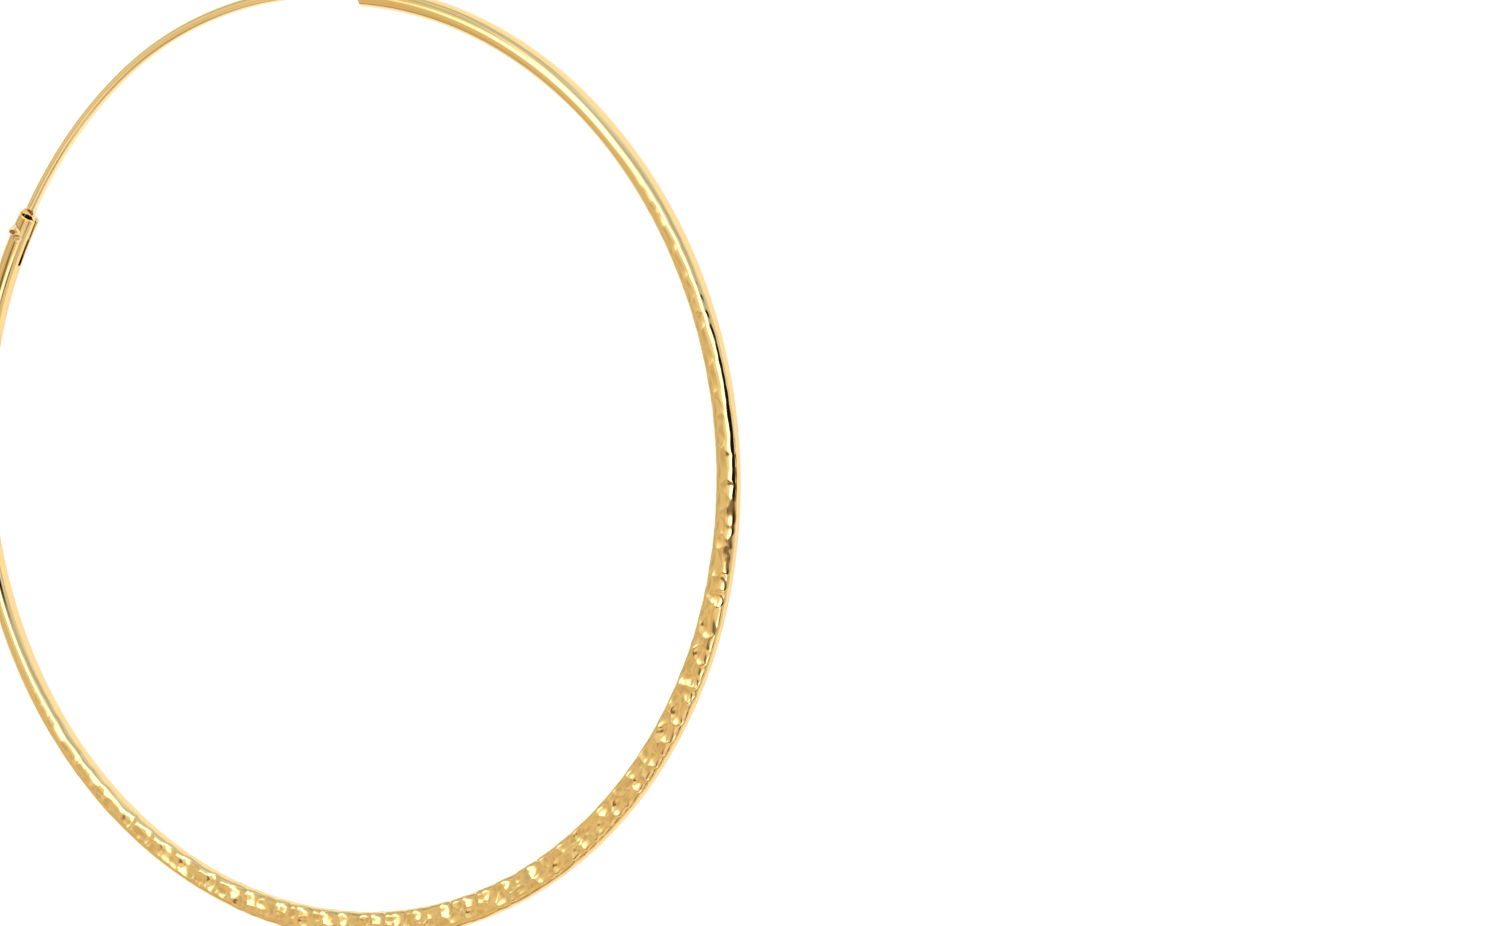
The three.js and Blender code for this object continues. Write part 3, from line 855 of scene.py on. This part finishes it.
def make_studio():
    """A white cloth tent with two softboxes, a dark seam and gap, and a hole for the lens.

    Polished metal shows only what it reflects, so these are what draws the lines on it.
    """
    world = bpy.data.worlds.new("white_tent")
    bpy.context.scene.world = world
    world.use_nodes = True
    tree = world.node_tree
    tree.nodes.clear()
    direction = node(tree, "ShaderNodeTexCoord").outputs["Generated"]
    parts = node(tree, "ShaderNodeSeparateXYZ", links={"Vector": direction})
    side = node(tree, "ShaderNodeMapRange", {"interpolation_type": "SMOOTHSTEP"},
                inputs=from_range(WALLS_MEET), links={"Value": parts.outputs["X"]})
    walls = node(tree, "ShaderNodeMix", {"data_type": "RGBA"}, links={
        0: side.outputs["Result"],
        6: wall_ramp(tree, parts.outputs["Z"], FAR_WALL),
        7: wall_ramp(tree, parts.outputs["Z"], NEAR_WALL),
    })
    cool = node(tree, "ShaderNodeMapRange", inputs=from_range(WARM_TO_COOL),
                links={"Value": parts.outputs["Y"]})
    tint = node(tree, "ShaderNodeMix", {"data_type": "RGBA"}, inputs={
        6: linear(WARM_END), 7: linear(COOL_END),
    }, links={0: cool.outputs["Result"]})
    tinted = node(tree, "ShaderNodeMix", {"data_type": "RGBA", "blend_type": "MULTIPLY"},
                  inputs={0: 1.0}, links={6: walls.outputs[2], 7: tint.outputs[2]})
    folds = node(tree, "ShaderNodeTexNoise", inputs={"Scale": FOLD_SCALE, "Detail": 1.0},
                 links={"Vector": direction})
    shade = node(tree, "ShaderNodeMapRange", inputs={
        **from_range(FOLD_RANGE), "To Min": 1 - FOLD_SHADE, "To Max": 1 + FOLD_SHADE,
    }, links={"Value": folds.outputs["Fac"]})
    folded = node(tree, "ShaderNodeMix", {"data_type": "RGBA", "blend_type": "MULTIPLY"},
                  inputs={0: 1.0}, links={6: tinted.outputs[2], 7: shade.outputs["Result"]})
    softbox = linear(SOFTBOX_COLOUR)
    keyed = node(tree, "ShaderNodeMix", {"data_type": "RGBA"}, inputs={
        7: [part * KEY_GAIN for part in softbox],
    }, links={0: studio_patch(tree, direction, *KEY_PATCH), 6: folded.outputs[2]})
    gap_noise = node(tree, "ShaderNodeTexNoise", inputs={"Scale": GAP_NOISE_SCALE, "Detail": 0.0},
                     links={"Vector": direction})
    opening = node(tree, "ShaderNodeMapRange", {"interpolation_type": "SMOOTHSTEP"},
                   inputs=from_range(GAP_OPENS), links={"Value": gap_noise.outputs["Fac"]})
    gap_part = node(tree, "ShaderNodeMath", {"operation": "MULTIPLY"}, links={
        0: studio_patch(tree, direction, *GAP_PATCH), 1: opening.outputs["Result"],
    })
    gapped = node(tree, "ShaderNodeMix", {"data_type": "RGBA"}, inputs={7: linear(GAP_COLOUR)}, links={
        0: gap_part.outputs["Value"], 6: keyed.outputs[2],
    })
    lit = node(tree, "ShaderNodeMix", {"data_type": "RGBA"}, inputs={
        7: [part * STRIP_GAIN for part in softbox],
    }, links={0: studio_patch(tree, direction, *STRIP_PATCH), 6: gapped.outputs[2]})
    seam_end = node(tree, "ShaderNodeMapRange", {"interpolation_type": "SMOOTHSTEP"},
                    inputs=from_range(SEAM_FADE), links={"Value": parts.outputs["X"]})
    seam_part = node(tree, "ShaderNodeMath", {"operation": "MULTIPLY"}, links={
        0: studio_seam(tree, direction, *SEAM), 1: seam_end.outputs["Result"],
    })
    seamed = node(tree, "ShaderNodeMix", {"data_type": "RGBA"}, inputs={7: linear(SEAM_COLOUR)}, links={
        0: seam_part.outputs["Value"], 6: lit.outputs[2],
    })
    holed = node(tree, "ShaderNodeMix", {"data_type": "RGBA"}, inputs={7: linear(LENS_COLOUR)}, links={
        0: studio_patch(tree, direction, *LENS_PATCH), 6: seamed.outputs[2],
    })
    tent = node(tree, "ShaderNodeBackground", inputs={"Strength": TENT_STRENGTH},
                links={"Color": holed.outputs[2]})
    node(tree, "ShaderNodeOutputWorld", links={"Surface": tent.outputs["Background"]})


bpy.context.scene.view_settings.view_transform = "Standard"
make_camera()
make_studio()
make_table()
make_tube(polished_gold_alloy("buffed_yellow_gold", "#e9c986", 0.09))
make_wire(polished_gold_alloy("drawn_yellow_gold", "#f0d69c", 0.13))
make_rivet(polished_gold_alloy("peened_yellow_gold", "#e8c688", 0.12))
